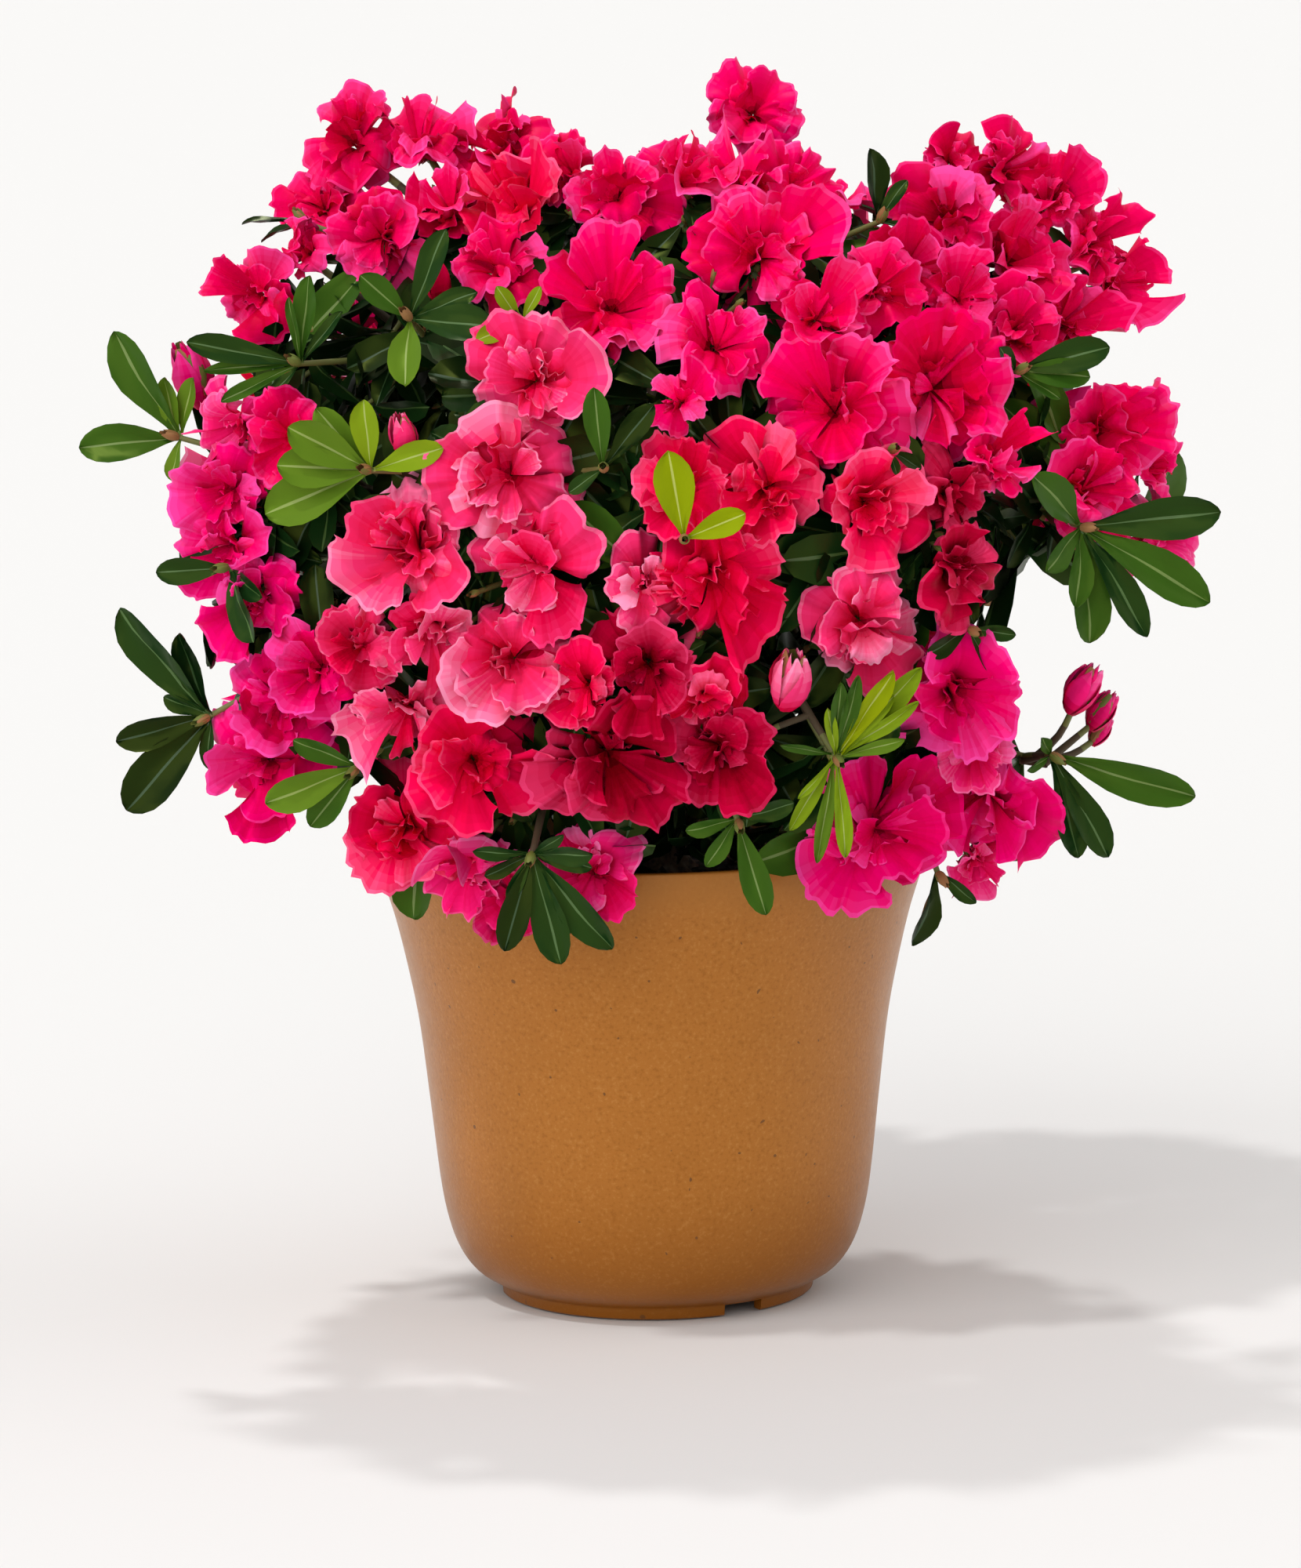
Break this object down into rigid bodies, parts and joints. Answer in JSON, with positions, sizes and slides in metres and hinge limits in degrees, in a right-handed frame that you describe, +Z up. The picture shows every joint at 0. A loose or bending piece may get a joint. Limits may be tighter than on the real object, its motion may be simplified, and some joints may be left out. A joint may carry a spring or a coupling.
{
  "type": "potted azalea shrub",
  "caption": "Rounded double-flowered azalea shrub on a short trunk, standing in a plain bell-shaped pot of potting mix.",
  "frame": {"origin": "Centre of the pot's flat underside, on the ground plane. The crown's box is centred over it to within the check's tolerance.", "axes": "+Z is up, -Y is the front that the picture shows, +X is to the viewer's right."},
  "size_m": [0.3064, 0.2517, 0.3371],
  "materials": {
    "pot": "satin, speckled tan",
    "potting_mix": "loose dark peat and bark",
    "bark": "rough brown bark",
    "blossom": "crimson to magenta petals with green leaves behind",
    "foliage": "semi-gloss green leaves"
  },
  "bodies": {
    "root": {"pot": "pot", "potting_mix": "potting_mix", "trunk": "bark", "bough_crest_left": "bark", "bough_shoulder_left": "bark", "bough_peak": "bark", "bough_brow": "bark", "bough_crest_right": "bark", "bough_cheek_right": "bark", "bough_right": "bark", "bough_left": "bark", "bough_mid_left": "bark", "bough_heart": "bark", "bough_mid_right": "bark", "bough_low_right": "bark", "bough_coral": "bark", "bough_low_left": "bark", "bough_rim_left": "bark", "bough_low_centre": "bark", "bough_rim_front": "bark", "bough_top": "bark", "bough_back_crest_right": "bark", "bough_back_crest_left": "bark", "bough_back_right": "bark", "bough_back_middle_right": "bark", "bough_back_middle_left": "bark", "bough_back_left": "bark", "bough_back_low_right": "bark", "bough_back_low_middle": "bark", "bough_back_low_left": "bark", "mass_crest_left": "blossom", "mass_shoulder_left": "blossom", "mass_peak": "blossom", "mass_brow": "blossom", "mass_crest_right": "blossom", "mass_cheek_right": "blossom", "mass_right": "blossom", "mass_left": "blossom", "mass_mid_left": "blossom", "mass_heart": "blossom", "mass_mid_right": "blossom", "mass_low_right": "blossom", "mass_coral": "blossom", "mass_low_left": "blossom", "mass_rim_left": "blossom", "mass_low_centre": "blossom", "mass_rim_front": "blossom", "mass_shoot": "foliage", "mass_bud_sprig": "foliage", "mass_top": "blossom", "mass_back_crest_right": "blossom", "mass_back_crest_left": "blossom", "mass_back_right": "blossom", "mass_back_middle_right": "blossom", "mass_back_middle_left": "blossom", "mass_back_left": "blossom", "mass_back_low_right": "blossom", "mass_back_low_middle": "blossom", "mass_back_low_left": "blossom"}
  },
  "joints": []
}
